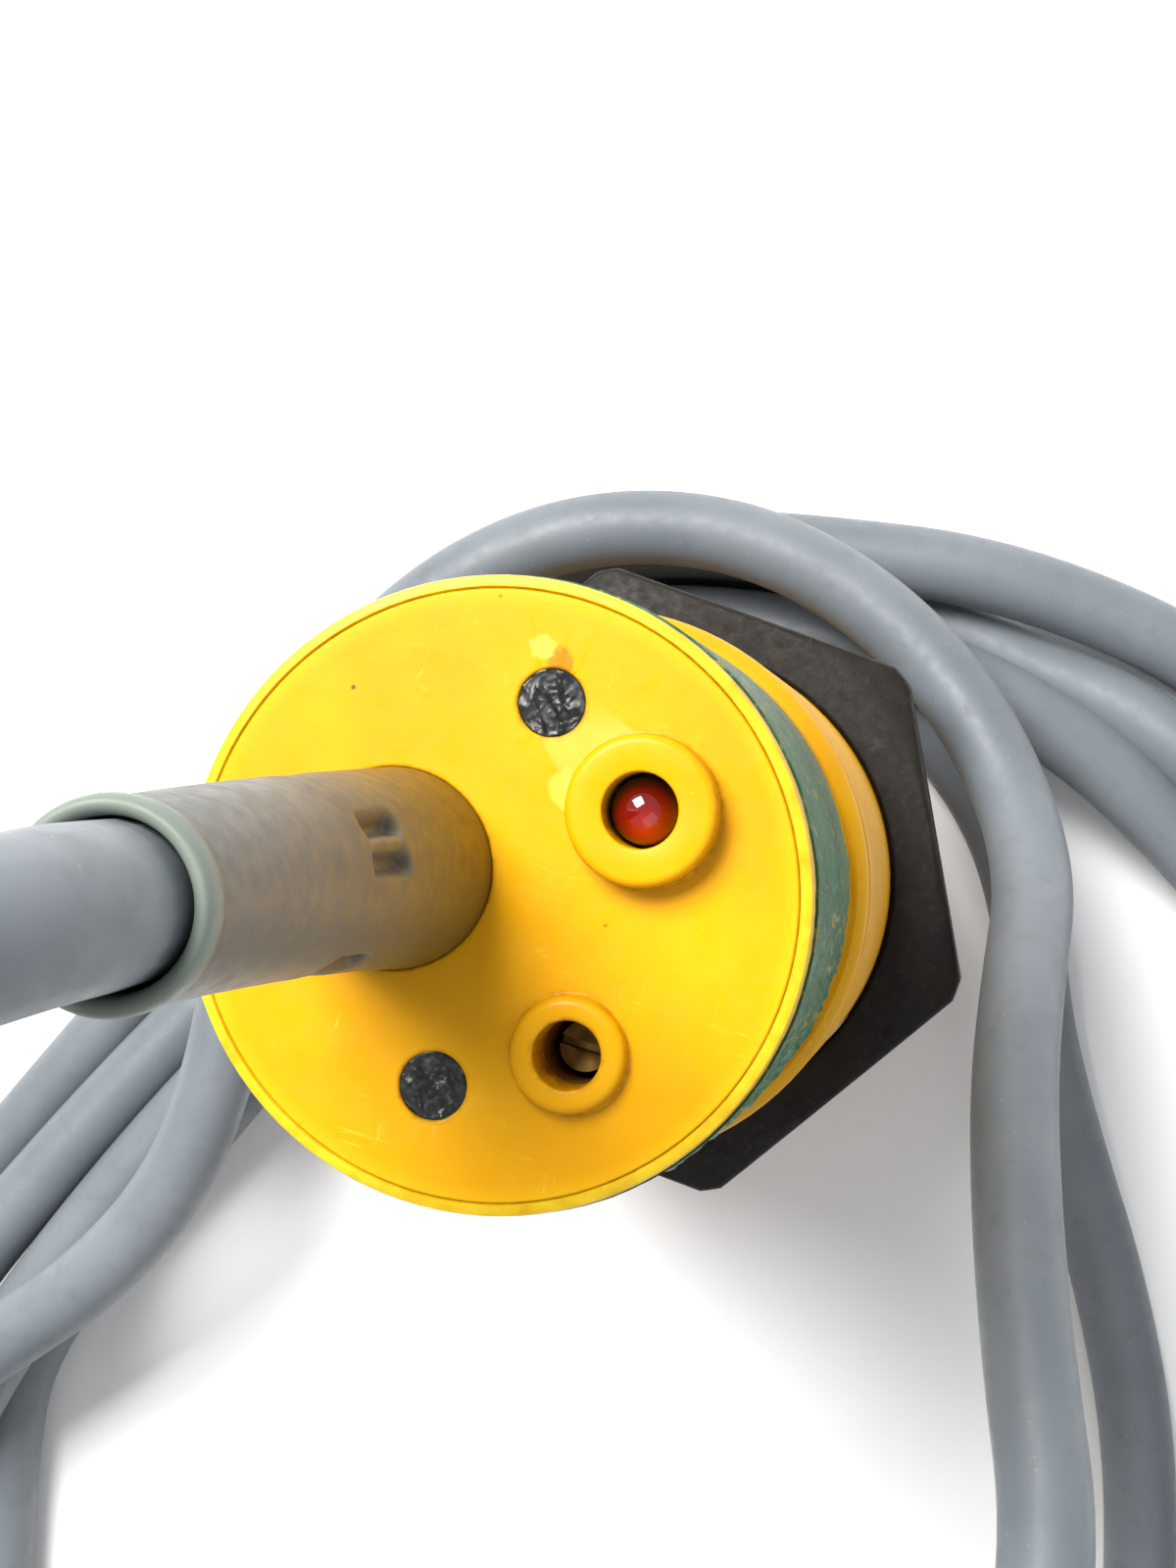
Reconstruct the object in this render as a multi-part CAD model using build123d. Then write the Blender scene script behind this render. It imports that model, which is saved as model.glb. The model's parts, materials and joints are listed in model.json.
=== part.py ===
from build123d import *
import os
from math import atan2, cos, hypot, pi, radians, sin, tan

# Capacitive proximity switch in a threaded plastic tube, with its cable and lock nut.
# Millimetres. Origin: centre of the sensing face. +Z runs along the tube to the cable end.
# +X runs from the cable towards the lamp and the trimmer, which share one side.

# Housing
LENGTH = 80.0               # sensing face to rear cap
THREAD_R = 15.0             # M30 x 1.5
PITCH = 1.5
REAR_R = 14.0               # smooth stretch behind the thread
REAR_LEN = 25.4
BORE_R = 12.2
CAP_SEAT_R = 13.4           # both ends have a shallow seat for a cap
CAP_T = 2.0
SKIRT_T = 1.2
SKIRT_LEN = 4.0
SEAT_Z = LENGTH - CAP_T     # underside of the rear cap
STEP_Z = LENGTH - REAR_LEN

# Rear cap features
LAMP_XY = (5.35, 5.5)
TRIM_XY = (5.35, -5.5)
RELIEF_XY = (-4.6, -0.24)
FILL_XY = [(0.0, 8.75), (0.0, -8.75)]
FILL_R = 1.5
LAMP_COLLAR = (3.3, 1.8)    # radius, height above the cap
TRIM_COLLAR = (2.55, 1.0)
LAMP_HOLE_R = 1.65
TRIM_HOLE_R = 1.5
LAMP_R = 1.5
LAMP_TOP = LENGTH + 1.35

# Identification band
BAND_T = 0.12
BAND_Z = (LENGTH - 23.8, LENGTH - 0.9)
BAND_GAP = 40.0             # degrees left open at the seam

# Cable and its moulded relief
CABLE_R = 2.6
RELIEF_BASE_R = 4.45
RELIEF_END_R = 3.4
RELIEF_LEN = 35.0
RELIEF_FLANGE = (5.6, 2.0)  # radius, thickness, under the cap
RELIEF_SLOT_ANGLES = [first + 90 * i for i in range(4) for first in (25, 48)]
RELIEF_SLOT = (4.0, 15.0)   # radius and height above the cap of the slots' middles
CORE_R = 0.65
CORE_RING_R = 1.3
CORE_FAN = {                # sideways and upward start, then the turn in degrees
    "core_brown": (0.0, 1.3, 10.0), "core_blue": (-1.2, -0.7, -12.0), "core_black": (1.2, -0.7, 32.0)}
CORE_SPRING = 28.0          # how steeply each stripped core's stiff end springs up, in degrees
FERRULE_R = 0.65
FERRULE_LEN = 8.0
FERRULE_COLLAR_R = 1.25
FERRULE_COLLAR_LEN = 4.0

# Electronics
BOARD_X = (0.6, 1.6)
BOARD_HALF_W = 10.0
BOARD_Z = (10.0, 70.0)
RESIN_Z = 64.0
TRIM_BODY_Z = (66.0, 71.5)
TRIM_SCREW_R = 1.15
TRIM_SCREW_TOP = 76.0
TRIM_FIT = 0.05
WELL_R = 2.3

# Lock nut and washer
NUT_FLATS = 36.0
NUT_CORNER_R = 20.4
NUT_H = 5.5
NUT_FIT = 0.05
NUT_TURN = -3.0             # degrees, one corner from +X
WASHER_T = 1.5
WASHER_R = 17.6
WASHER_BORE_R = 15.3
NUT_TOP = LENGTH - 52.1

# Cable route: hand-chosen points from the switch, over a free loop, round the thread, to the coil
COIL_H = 4 * CABLE_R
COIL_JOIN_Y = -72.0         # the cable joins the coil here and the tail leaves it at the other
COIL_LEAVE_Y = -40.0
CABLE_ROUTE = [
    (-4.6, -0.24, 70.0), (-4.6, -0.24, 118.0), (-11.0, -5.9, 132.7), (-23.3, -16.7, 142.2),
    (-39.8, -31.2, 142.2), (-49.0, -53.3, 132.3), (-42.2, -74.9, 117.5), (-21.2, -84.7, 101.8),
    (2.6, -81.9, 87.2), (22.6, -67.3, 75.4), (33.4, -47.0, 62.8), (34.8, -28.4, 52.6),
    (31.2, -15.2, 44.8), (27.4, -5.0, 36.0), (24.8, 1.4, 29.0), (23.2, 6.8, 23.0),
    (20.0, 12.2, 18.8), (14.2, 18.0, 16.2), (6.8, 22.0, 15.2), (-1.2, 23.8, 15.0),
    (-9.0, 23.0, 15.0), (-16.0, 20.0, 15.0), (-21.8, 15.0, 15.0), (-26.2, 8.4, 15.0),
    (-28.8, 0.8, 15.0), (-29.4, -7.2, 15.2), (-28.4, -15.4, 15.8), (-27.2, -23.6, 16.2),
    (-28.0, -32.0, 15.6), (-32.0, -40.6, 14.2), (-38.2, -48.2, 12.2), (-45.2, -54.8, 9.6),
    (-49.6, -63.0, 7.8), (-49.6, COIL_JOIN_Y, 7.8)]
TAIL_ROUTE = [
    (-33.4, COIL_LEAVE_Y, 2.6), (-33.4, -48.4, 2.6), (-36.0, -60.2, 2.6), (-34.8, -72.6, 2.6),
    (-29.6, -83.4, 2.6), (-21.6, -91.0, 2.6), (-11.4, -94.6, 2.6), (-1.4, -92.6, 2.6),
    (7.0, -86.8, 2.6)]
# One turn leaves the others and cuts across the coil's middle, on the table
INNER_ROUTE = [
    (51.6, -62.0, 2.6), (50.6, -52.0, 2.6), (47.6, -40.4, 2.6), (42.0, -29.2, 2.6), (35.0, -19.6, 2.6),
    (28.6, -11.4, 2.6), (23.8, -3.4, 2.6), (21.4, 4.4, 2.6), (18.0, 10.8, 2.6), (12.6, 15.6, 2.6),
    (5.8, 18.6, 2.6)]
# The coil's middle line, anticlockwise, with half of its width there
COIL_LINE = [
    (-48.5, -67.0, 10.2), (-46.5, -86.5, 9.4), (-34.0, -101.5, 8.2), (-12.0, -107.5, 8.2),
    (12.5, -103.0, 8.2), (35.5, -90.0, 8.2), (53.5, -69.5, 8.2), (62.5, -44.0, 8.2),
    (60.0, -18.0, 8.2), (48.0, 3.5, 8.6), (31.0, 18.8, 9.0), (15.5, 23.6, 6.6),
    (0.5, 21.9, 5.5), (-12.6, 18.8, 5.5), (-22.0, 9.6, 5.5), (-26.4, -3.5, 7.2),
    (-30.5, -17.5, 8.4), (-36.0, -32.6, 9.8), (-42.8, -49.6, 10.4)]


def cyl(r, z0, z1, xy=(0.0, 0.0)):
    return Pos(xy[0], xy[1], (z0 + z1) / 2) * Cylinder(r, z1 - z0)


def tube(r_out, r_in, z0, z1, xy=(0.0, 0.0)):
    return cyl(r_out, z0, z1, xy) - cyl(r_in, z0 - 1, z1 + 1, xy)


def block(x, y, z):
    size = [b - a for a, b in (x, y, z)]
    middle = [(a + b) / 2 for a, b in (x, y, z)]
    return Pos(*middle) * Box(*size)


def cone(r0, r1, z0, z1, xy):
    return Pos(xy[0], xy[1], (z0 + z1) / 2) * Cone(r0, r1, z1 - z0)


def save(name, shape):
    export_step(shape, f"parts/{name}.step")


def group(solids):
    return Compound(children=list(solids))


def fillet_radii(points):
    """Each corner's arc takes 0.45 of its shorter run."""
    radii = []
    for a, b, c in zip(points, points[1:], points[2:]):
        run_in, run_out = Vector(*b) - Vector(*a), Vector(*c) - Vector(*b)
        half = radians(run_in.get_angle(run_out)) / 2
        radii.append(0.45 * min(run_in.length, run_out.length) / tan(half))
    return radii


def sweep_round(points, r, label):
    radii = fillet_radii(points)
    path = FilletPolyline(*points, radius=radii)
    start = Plane(origin=path @ 0, z_dir=path % 0)
    solid = sweep(start * Circle(r), path=path)
    expected = pi * r * r * path.length
    print(f"{label}: length {path.length:.1f}, volume ratio {solid.volume / expected:.4f},",
          f"radii {min(radii):.1f} to {max(radii):.1f}")
    print("   ", [round(v, 1) for v in radii])
    return solid


# Housing shell

def barrel():
    body = cyl(THREAD_R, 0, STEP_Z) + cyl(REAR_R, STEP_Z, LENGTH)
    body -= cyl(BORE_R, -1, LENGTH + 1)
    body -= cyl(CAP_SEAT_R, -1, CAP_T)
    body -= cyl(CAP_SEAT_R, SEAT_Z, LENGTH + 1)
    step_edge = body.edges().filter_by(GeomType.CIRCLE).filter_by(lambda e: abs(e.radius - THREAD_R) < 0.01)
    return chamfer(step_edge.sort_by(Axis.Z)[-1], 0.5)


def sensing_cap():
    return cyl(CAP_SEAT_R, 0, CAP_T) + tube(BORE_R, BORE_R - SKIRT_T, CAP_T, CAP_T + SKIRT_LEN)


def rear_cap():
    cap = cyl(CAP_SEAT_R, SEAT_Z, LENGTH) + tube(BORE_R, BORE_R - SKIRT_T, SEAT_Z - SKIRT_LEN, SEAT_Z)
    for (r, height), xy in ((LAMP_COLLAR, LAMP_XY), (TRIM_COLLAR, TRIM_XY)):
        collar = cyl(r, LENGTH, LENGTH + height, xy)
        top = collar.edges().filter_by(GeomType.CIRCLE).sort_by(Axis.Z)[-1]
        cap += chamfer(top, 0.25)
    holes = [(LAMP_HOLE_R, LAMP_XY), (TRIM_HOLE_R, TRIM_XY), (RELIEF_BASE_R, RELIEF_XY)]
    holes += [(FILL_R, xy) for xy in FILL_XY]
    for r, xy in holes:
        cap -= cyl(r, SEAT_Z - 1, LENGTH + 5, xy)
    return cap


def identification_band():
    ring = tube(REAR_R + BAND_T, REAR_R, *BAND_Z)
    half = radians(BAND_GAP / 2)
    reach = 2 * REAR_R
    seam = Polygon((0, 0), (-reach * cos(half), -reach * sin(half)), (-reach * cos(half), reach * sin(half)),
                   align=None)
    return ring - Pos(0, 0, BAND_Z[0] - 1) * extrude(seam, BAND_Z[1] - BAND_Z[0] + 2)


# Front end: the capacitor plate and its guard

def electrode_stack():
    z = CAP_T
    foil = 0.3
    board_t = 1.0
    return {
        "sensing_electrode": cyl(8.0, z, z + foil),
        "guard_ring": tube(10.6, 9.2, z, z + foil),
        "electrode_board": cyl(10.9, z + foil, z + foil + board_t),
        "shield_sleeve": tube(10.9, 10.6, z + foil + board_t, 24.0),
        "electrode_pins": group(cyl(0.4, z + foil + board_t, 14.0, (BOARD_X[1] + 0.4, y)) for y in (-3, 3)),
    }


# Main board and what it carries

def chip(centre_y, z, body, legs, pitch, leg_side="y"):
    """Moulded package with bent legs on two sides, lying on the board."""
    width, length, height = body
    face = BOARD_X[1]
    part = block((face + 0.1, face + 0.1 + height), (centre_y - width / 2, centre_y + width / 2),
                 (z - length / 2, z + length / 2))
    for i in range(legs):
        leg_z = z + (i - (legs - 1) / 2) * pitch
        for side in (-1, 1):
            inner, outer = centre_y + side * (width / 2 - 0.1), centre_y + side * (width / 2 + 1.0)
            foot = centre_y + side * (width / 2 + 0.55)
            y_leg = sorted((inner, foot))
            y_foot = sorted((foot - side * 0.1, outer))
            part += block((face + 0.45, face + 0.65), y_leg, (leg_z - 0.2, leg_z + 0.2))
            part += block((face, face + 0.65), sorted((foot - side * 0.2, foot)), (leg_z - 0.2, leg_z + 0.2))
            part += block((face, face + 0.2), y_foot, (leg_z - 0.2, leg_z + 0.2))
    return part


def chips_in_rows(size, rows):
    """Small chip parts, one block each, on the board's front face."""
    width, length, height = size
    face = BOARD_X[1]
    return group(block((face, face + height), (y - width / 2, y + width / 2), (z - length / 2, z + length / 2))
                 for y, z in rows)


def board_parts():
    back = BOARD_X[0]
    capacitors = [(-7.0 + 3.5 * i, 25.0) for i in range(5)] + [(7.0, 33.0 + 6.0 * i) for i in range(3)]
    resistors = [(-7.5, 31.0 + 3.4 * i) for i in range(7)] + [(-4.0 + 2.6 * i, 30.0) for i in range(4)]
    return {
        "circuit_board": block(BOARD_X, (-BOARD_HALF_W, BOARD_HALF_W), BOARD_Z),
        "control_chip": chip(0.0, 40.0, (3.9, 8.7, 1.5), 7, 1.27),
        "output_transistor": chip(0.0, 53.0, (3.5, 6.5, 1.6), 3, 2.3),
        "chip_capacitors": chips_in_rows((1.25, 2.0, 0.9), capacitors),
        "chip_resistors": chips_in_rows((0.8, 1.6, 0.45), resistors),
        "tank_capacitor": block((back - 2.6, back), (2.0, 5.4), (44.0, 50.0)),
        "polarity_diode": block((back - 2.2, back), (-6.5, -3.9), (44.0, 48.4)),
        "surge_suppressor": block((back - 2.2, back), (-6.5, -2.9), (36.0, 40.6)),
    }


# Lamp and trimmer

def lamp():
    x, y = LAMP_XY
    shoulder = LAMP_TOP - LAMP_R
    lens = cyl(LAMP_R, 75.2, shoulder, LAMP_XY) + Pos(x, y, shoulder) * Sphere(LAMP_R)
    return lens + cyl(1.9, 74.4, 75.2, LAMP_XY)


def lamp_leads():
    x, y = LAMP_XY
    leads = []
    for side in (-1.27, 1.27):
        route = [(x, y + side, 74.4), (x, y + side, 71.6), (BOARD_X[1] + 0.25, y + side, 68.0),
                 (BOARD_X[1] + 0.25, y + side, 64.6)]
        leads.append(sweep_round(route, 0.25, "lamp lead"))
    return group(leads)


def trimmer():
    x, y = TRIM_XY
    z0, z1 = TRIM_BODY_Z
    body = block((BOARD_X[1], 8.3), (y - 3.0, y + 3.0), TRIM_BODY_Z)
    body -= cyl(TRIM_SCREW_R + TRIM_FIT, z1 - 3.0, z1 + 1, TRIM_XY)
    screw = cyl(TRIM_SCREW_R, z1 - 2.95, TRIM_SCREW_TOP, TRIM_XY)
    screw -= block((x - 2, x + 2), (y - 0.2, y + 0.2), (TRIM_SCREW_TOP - 0.75, TRIM_SCREW_TOP + 1))
    well = tube(WELL_R, TRIM_HOLE_R, z1, SEAT_Z, TRIM_XY)
    return {"trimmer_body": body, "trimmer_screw": screw, "trimmer_well": well}


# Cable, relief and the wires inside

def strain_relief():
    z_end = LENGTH + RELIEF_LEN
    x, y = RELIEF_XY
    flange_r, flange_t = RELIEF_FLANGE
    part = cyl(RELIEF_BASE_R, SEAT_Z, LENGTH, RELIEF_XY) + cyl(flange_r, SEAT_Z - flange_t, SEAT_Z, RELIEF_XY)
    part += cone(RELIEF_BASE_R, RELIEF_END_R, LENGTH, z_end, RELIEF_XY)
    part -= cyl(CABLE_R, SEAT_Z - 5, z_end + 1, RELIEF_XY)
    part -= cyl(CABLE_R + 0.4, z_end - 1.6, z_end + 1, RELIEF_XY)
    for angle in RELIEF_SLOT_ANGLES:
        slot = Pos(RELIEF_SLOT[0], 0, LENGTH + RELIEF_SLOT[1]) * Box(1.4, 1.2, 5.0)
        slot = fillet(slot.edges().filter_by(Axis.X), 0.55)
        part -= Pos(x, y, 0) * Rot(0, 0, angle) * slot
    return part


def core_offsets():
    angles = [90 + 120 * i for i in range(3)]
    return [(CORE_RING_R * cos(radians(a)), CORE_RING_R * sin(radians(a))) for a in angles]


def inner_cores():
    """Three cores from the cable's end to the back of the board."""
    cores = []
    pad_x = BOARD_X[0] - CORE_R
    for (dx, dy), pad_y in zip(core_offsets(), (3.2, -1.6, 0.8)):
        x, y = RELIEF_XY[0] + dx, RELIEF_XY[1] + dy
        route = [(x, y, 70.0), (x, y, 66.0), (pad_x, pad_y, 59.5), (pad_x, pad_y, 55.5)]
        cores.append(sweep_round(route, CORE_R, "inner core"))
    return group(cores)


def potting_resin(inside):
    skirt_r = BORE_R - SKIRT_T
    resin = cyl(BORE_R, RESIN_Z, SEAT_Z - SKIRT_LEN) + cyl(skirt_r, SEAT_Z - SKIRT_LEN, SEAT_Z)
    for xy in FILL_XY:
        resin += cyl(FILL_R, SEAT_Z, LENGTH - 0.15, xy)
    resin -= cyl(WELL_R, TRIM_BODY_Z[1] - 3.0, SEAT_Z + 1, TRIM_XY)
    resin -= cyl(CABLE_R, 70.0, LENGTH, RELIEF_XY)
    for part in inside:
        resin -= part
    return resin


def coil_outline(side):
    """Plan outline beside the middle line; each point moves square to its neighbours' chord."""
    count = len(COIL_LINE)
    points = []
    for i, (x, y, half_width) in enumerate(COIL_LINE):
        (x0, y0, _), (x1, y1, _) = COIL_LINE[i - 1], COIL_LINE[(i + 1) % count]
        shift = side * half_width / hypot(x1 - x0, y1 - y0)
        points.append((x + (y1 - y0) * shift, y - (x1 - x0) * shift))
    return make_face(Spline(*points, periodic=True))


def cable_coil():
    """Closed outer shape of the coil, open where the cable joins it and the tail leaves it."""
    ring = extrude(coil_outline(1), COIL_H, dir=(0, 0, 1))
    ring -= Pos(0, 0, -1) * extrude(coil_outline(-1), COIL_H + 2, dir=(0, 0, 1))
    return ring - block((-80, -22), (COIL_JOIN_Y, COIL_LEAVE_Y), (-1, COIL_H + 1))


def outer_cores():
    """Stripped cores beyond the cable's far end, fanned out, each with a crimped end sleeve at its sprung-up end."""
    (x0, y0, _), (x1, y1, z1) = TAIL_ROUTE[-2], TAIL_ROUTE[-1]
    heading = atan2(y1 - y0, x1 - x0)
    cores, ferrules = {}, []
    for name, (side, rise, fan) in CORE_FAN.items():
        start = Vector(x1 - sin(heading) * side, y1 + cos(heading) * side, z1 + rise)
        route = [start]
        drop = start.Z - FERRULE_COLLAR_R
        for turn, run, drop, tilt in ((0, 6.0, 0, 0), (fan / 2, 9.0, drop, 0), (fan, 9.0, 0, CORE_SPRING)):
            angle, flat = heading + radians(turn), run * cos(radians(tilt))
            rise = run * sin(radians(tilt)) - drop
            route.append(route[-1] + Vector(cos(angle) * flat, sin(angle) * flat, rise))
        cores[name] = sweep_round([point.to_tuple() for point in route], CORE_R, name)
        ahead = Plane(origin=route[-1], z_dir=route[-1] - route[-2])
        ferrule = extrude(ahead * Circle(FERRULE_COLLAR_R), FERRULE_COLLAR_LEN)
        ferrules.append(ferrule + extrude(ahead * Circle(FERRULE_R), FERRULE_COLLAR_LEN + FERRULE_LEN))
    return cores, group(ferrules)


# Lock nut

def nut(z0):
    blank = extrude(RegularPolygon(NUT_FLATS / 2, 6, major_radius=False), NUT_H)
    blank &= cyl(NUT_CORNER_R, 0, NUT_H)
    bevel = cone(NUT_CORNER_R + 1.2, NUT_FLATS / 2 - 0.3, NUT_H - 1.2, NUT_H, (0, 0))
    crown = cyl(NUT_CORNER_R + 1, 0, NUT_H - 1.2) + bevel
    blank &= crown
    blank -= cyl(THREAD_R + NUT_FIT, -1, NUT_H + 1)
    corner = 30.0 if blank.bounding_box().max.Y > blank.bounding_box().max.X else 0.0
    return Pos(0, 0, z0) * Rot(0, 0, NUT_TURN + corner) * blank


def nut_and_washer():
    washer_top = NUT_TOP - NUT_H
    return {
        "lock_nut": nut(washer_top),
        "lock_washer": tube(WASHER_R, WASHER_BORE_R, washer_top - WASHER_T, washer_top),
    }


def main():
    os.makedirs("parts", exist_ok=True)
    parts = {
        "threaded_barrel": barrel(),
        "sensing_face_cap": sensing_cap(),
        "rear_cap": rear_cap(),
        "identification_band": identification_band(),
        "strain_relief": strain_relief(),
        "cable_clamp": tube(4.0, CABLE_R, 72.6, 75.4, RELIEF_XY),
        "inner_cores": inner_cores(),
        "lamp": lamp(),
        "lamp_leads": lamp_leads(),
    }
    parts.update(electrode_stack())
    parts.update(board_parts())
    parts.update(trimmer())
    parts.update(nut_and_washer())
    buried = ["strain_relief", "cable_clamp", "inner_cores", "lamp", "lamp_leads", "circuit_board",
              "trimmer_body"]
    parts["potting_resin"] = potting_resin([parts[name] for name in buried])
    parts["cable"] = sweep_round(CABLE_ROUTE, CABLE_R, "cable")
    parts["cable_tail"] = sweep_round(TAIL_ROUTE, CABLE_R, "cable tail")
    parts["cable_coil"] = cable_coil()
    parts["cable_inner_run"] = sweep_round(INNER_ROUTE, CABLE_R, "inner run") - parts["cable_coil"]
    cores, parts["wire_ferrules"] = outer_cores()
    parts.update(cores)
    for name, shape in parts.items():
        save(name, shape)


main()
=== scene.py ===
import json
import math

import bmesh
import bpy
from mathutils import Matrix, Vector, noise


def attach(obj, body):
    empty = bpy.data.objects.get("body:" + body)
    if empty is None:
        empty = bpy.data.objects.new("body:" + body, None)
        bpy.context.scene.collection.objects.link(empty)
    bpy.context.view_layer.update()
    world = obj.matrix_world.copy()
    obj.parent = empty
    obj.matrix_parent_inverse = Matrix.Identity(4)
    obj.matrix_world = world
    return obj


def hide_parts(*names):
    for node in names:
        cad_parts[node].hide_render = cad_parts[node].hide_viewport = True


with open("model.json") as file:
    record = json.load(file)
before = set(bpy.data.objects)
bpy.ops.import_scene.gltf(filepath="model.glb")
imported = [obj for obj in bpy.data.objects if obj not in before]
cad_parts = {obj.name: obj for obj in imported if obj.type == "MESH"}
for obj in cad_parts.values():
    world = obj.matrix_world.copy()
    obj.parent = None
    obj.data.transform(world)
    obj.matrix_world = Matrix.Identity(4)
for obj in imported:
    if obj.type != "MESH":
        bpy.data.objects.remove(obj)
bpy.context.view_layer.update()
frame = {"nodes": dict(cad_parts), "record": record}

MM = 0.001
HOUSING = "housing"

# The switch's sizes and places in mm: the sensing face lies at z = 0, the cap's face at TOP_Z
THREAD_R, THREAD_ROOT, PITCH = 15.0, 14.1, 1.5
THREAD_Z = (0.7, 53.2)
REAR_R, STEP_Z, TOP_Z = 14.0, 54.6, 80.0
SEAT_R, SEAT_Z, BORE_R = 13.42, 78.0, 12.2
BAND_Z = (57.4, 78.7)
PLUG_Y, PLUG_R = 8.75, 1.5
LAMP_XY, LENS_R, LAMP_COLLAR_R = (5.35, 5.5), 1.5, 3.3
TRIMMER_XY, TRIMMER_R, TRIMMER_COLLAR_R = (5.35, -5.5), 1.5, 2.55
RELIEF_XY, RELIEF_R, RELIEF_LENGTH = (-4.6, -0.24), 4.45, 35.0

# The side where the film is worn most, and the number of vertices once round the barrel
WORN_SIDE = math.radians(-16)
AROUND = 96


# ---------------------------------------------------------------- materials

def linear(colour):
    """An 8-bit screen colour as the linear values that a shader takes."""
    values = [c / 255 for c in colour]
    return (*[v / 12.92 if v < 0.04 else ((v + 0.055) / 1.055) ** 2.4 for v in values], 1.0)


class Surface:
    """One material: its shader, and nodes that vary it on the object's own millimetres."""

    def __init__(self, name, roughness=0.5, metallic=0.0, **sockets):
        self.material = bpy.data.materials.new(name)
        self.material.use_nodes = True
        self.tree = self.material.node_tree
        self.shader = self.tree.nodes["Principled BSDF"]
        self.shader.inputs["Roughness"].default_value = roughness
        self.shader.inputs["Metallic"].default_value = metallic
        for socket, value in sockets.items():
            self.shader.inputs[socket.replace("_", " ")].default_value = value
        scale = self.node("ShaderNodeVectorMath", operation="SCALE")
        scale.inputs["Scale"].default_value = 1 / MM
        self.tree.links.new(self.node("ShaderNodeTexCoord").outputs["Object"], scale.inputs[0])
        self.mm = scale.outputs["Vector"]

    def node(self, kind, **settings):
        """A new node, with its settings."""
        made = self.tree.nodes.new(kind)
        for key, value in settings.items():
            setattr(made, key, value)
        return made

    def feed(self, socket, value):
        """Links another node's output to a socket, or sets the socket's own value."""
        if isinstance(value, bpy.types.NodeSocket):
            self.tree.links.new(value, socket)
        else:
            socket.default_value = value

    def placed(self, stretch=(1, 1, 1), shift=(0, 0, 0)):
        """The place in mm, stretched and then shifted."""
        mapping = self.node("ShaderNodeMapping")
        self.feed(mapping.inputs["Vector"], self.mm)
        mapping.inputs["Scale"].default_value = stretch
        mapping.inputs["Location"].default_value = shift
        return mapping.outputs["Vector"]

    def noise(self, per_mm, detail=4.0, stretch=(1, 1, 1), shift=(0, 0, 0), distortion=0.0):
        """Cloudy values about 0.5."""
        made = self.node("ShaderNodeTexNoise")
        self.feed(made.inputs["Vector"], self.placed(stretch, shift))
        made.inputs["Scale"].default_value = per_mm
        made.inputs["Detail"].default_value = detail
        made.inputs["Distortion"].default_value = distortion
        return made.outputs["Fac"]

    def cells(self, per_mm, shift=(0, 0, 0)):
        """Distance from the nearest of many scattered points."""
        made = self.node("ShaderNodeTexVoronoi")
        self.feed(made.inputs["Vector"], self.placed(shift=shift))
        made.inputs["Scale"].default_value = per_mm
        return made.outputs["Distance"]

    def reach(self, centre, stretch=(1, 1, 1)):
        """Distance in mm from a point of the row frame; a stretch of 0 leaves an axis out."""
        shift = [-c * s for c, s in zip(centre, stretch)]
        made = self.node("ShaderNodeVectorMath", operation="LENGTH")
        self.feed(made.inputs[0], self.placed(stretch, shift))
        return made.outputs["Value"]

    def height(self):
        """Height above the sensing face in mm."""
        made = self.node("ShaderNodeSeparateXYZ")
        self.feed(made.inputs[0], self.mm)
        return made.outputs["Z"]

    def span(self, value, low, high, to_low=0.0, to_high=1.0):
        """A value's range moved to another range, and held at its ends."""
        made = self.node("ShaderNodeMapRange")
        for i, v in enumerate((value, low, high, to_low, to_high)):
            self.feed(made.inputs[i], v)
        return made.outputs["Result"]

    def math(self, operation, a, b=0.5):
        made = self.node("ShaderNodeMath", operation=operation)
        self.feed(made.inputs[0], a)
        self.feed(made.inputs[1], b)
        return made.outputs["Value"]

    def times(self, a, b):
        return self.math("MULTIPLY", a, b)

    def away(self, value, middle):
        """How far a value is from a middle one, either way."""
        return self.math("ABSOLUTE", self.math("SUBTRACT", value, middle))

    def ramp(self, value, *stops):
        """A colour read from stops, each a position and a screen colour."""
        made = self.node("ShaderNodeValToRGB")
        self.feed(made.inputs["Fac"], value)
        elements = made.color_ramp.elements
        while len(elements) < len(stops):
            elements.new(0.5)
        for element, (position, colour) in zip(elements, stops):
            element.position = position
            element.color = linear(colour)
        return made.outputs["Color"]

    def layer(self, amount, below, tint):
        """A tint laid over the colour below it, as thick as the amount."""
        made = self.node("ShaderNodeMix", data_type="RGBA")
        self.feed(made.inputs[0], amount)
        self.feed(made.inputs[6], below)
        self.feed(made.inputs[7], linear(tint))
        return made.outputs[2]

    def colour(self, value):
        self.feed(self.shader.inputs["Base Color"], value)

    def rough(self, value, low, high):
        """Roughness that follows a noise from low to high."""
        self.feed(self.shader.inputs["Roughness"], self.span(value, 0.3, 0.7, low, high))

    def bump(self, value, depth_mm, strength):
        """Relief in the surface, on top of any bump that is there."""
        made = self.node("ShaderNodeBump")
        self.feed(made.inputs["Height"], value)
        made.inputs["Distance"].default_value = depth_mm * MM
        made.inputs["Strength"].default_value = strength
        if self.shader.inputs["Normal"].links:
            self.feed(made.inputs["Normal"], self.shader.inputs["Normal"].links[0].from_socket)
        self.feed(self.shader.inputs["Normal"], made.outputs["Normal"])


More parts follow.
